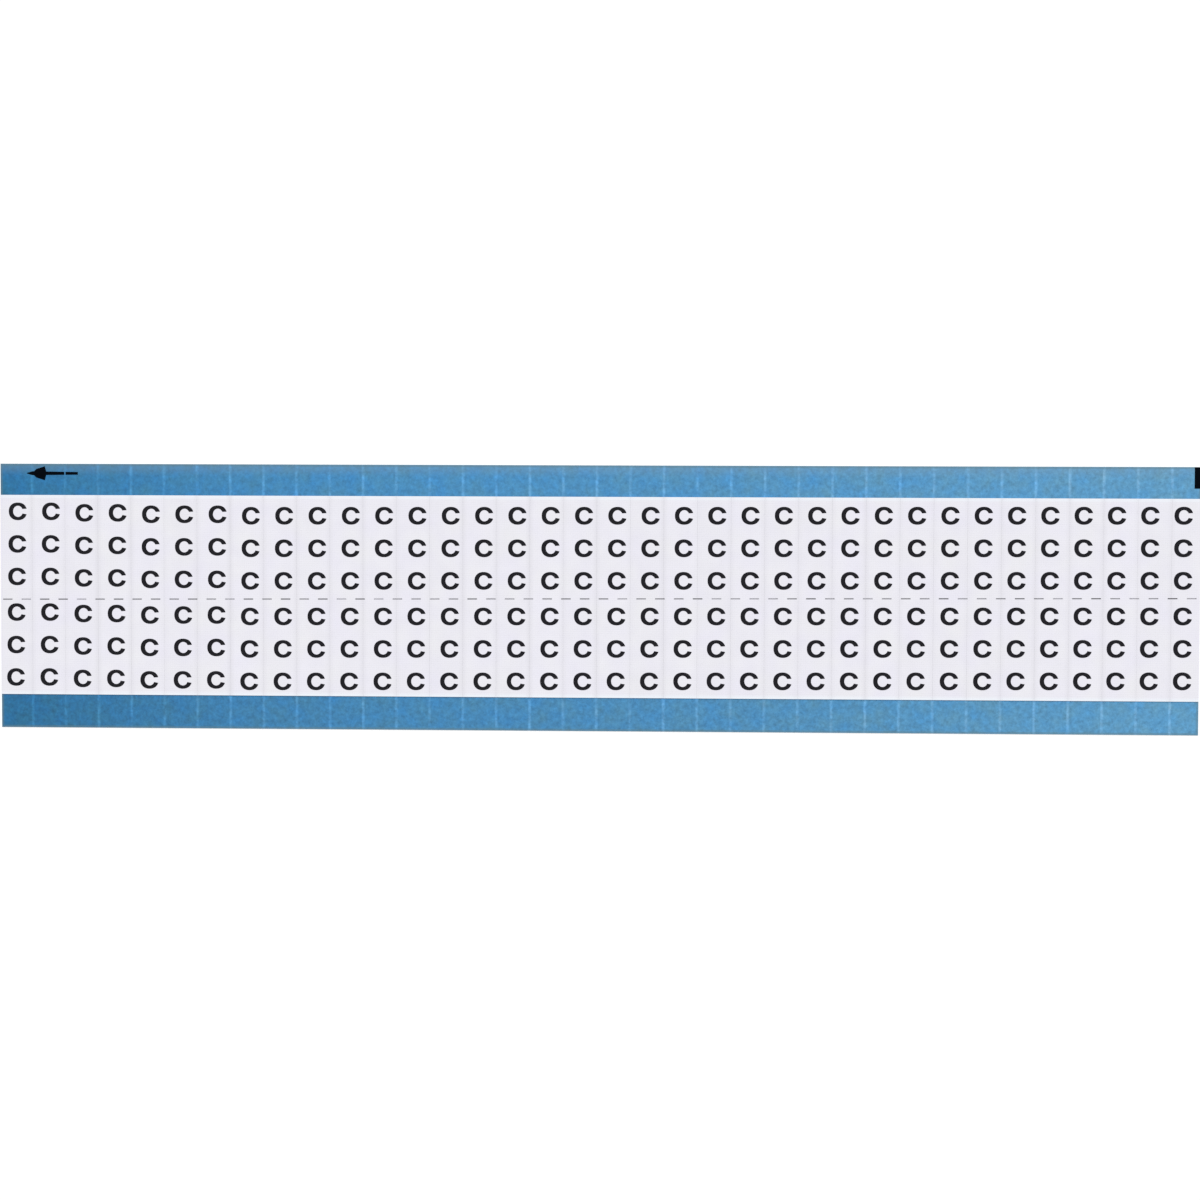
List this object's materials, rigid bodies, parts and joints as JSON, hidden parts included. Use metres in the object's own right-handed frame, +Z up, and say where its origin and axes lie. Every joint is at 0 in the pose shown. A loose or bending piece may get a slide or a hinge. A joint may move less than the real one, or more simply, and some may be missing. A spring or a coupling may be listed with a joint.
{
  "type": "wire marker card",
  "caption": "Flat card of peel-off cloth wire markers, perforated across their middle, on a wider scored paper liner.",
  "frame": {"origin": "centre of the card's underside", "axes": "+X along the card's long edges, away from the end that the feed arrow points to; +Y across the card, towards the edge with the feed arrow; +Z up through the printed face"},
  "size_m": [0.2274, 0.0504, 0.0003],
  "materials": {
    "liner_paper": "satin blue coated release paper",
    "marker_cloth": "matt white coated cloth",
    "print_ink": "thin film of satin black printing ink"
  },
  "bodies": {
    "root": {"liner": "liner_paper", "marker_01": "marker_cloth", "marker_02": "marker_cloth", "marker_03": "marker_cloth", "marker_04": "marker_cloth", "marker_05": "marker_cloth", "marker_06": "marker_cloth", "marker_07": "marker_cloth", "marker_08": "marker_cloth", "marker_09": "marker_cloth", "marker_10": "marker_cloth", "marker_11": "marker_cloth", "marker_12": "marker_cloth", "marker_13": "marker_cloth", "marker_14": "marker_cloth", "marker_15": "marker_cloth", "marker_16": "marker_cloth", "marker_17": "marker_cloth", "marker_18": "marker_cloth", "marker_19": "marker_cloth", "marker_20": "marker_cloth", "marker_21": "marker_cloth", "marker_22": "marker_cloth", "marker_23": "marker_cloth", "marker_24": "marker_cloth", "marker_25": "marker_cloth", "marker_26": "marker_cloth", "marker_27": "marker_cloth", "marker_28": "marker_cloth", "marker_29": "marker_cloth", "marker_30": "marker_cloth", "marker_31": "marker_cloth", "marker_32": "marker_cloth", "marker_33": "marker_cloth", "marker_34": "marker_cloth", "marker_35": "marker_cloth", "marker_36": "marker_cloth"}
  },
  "joints": []
}
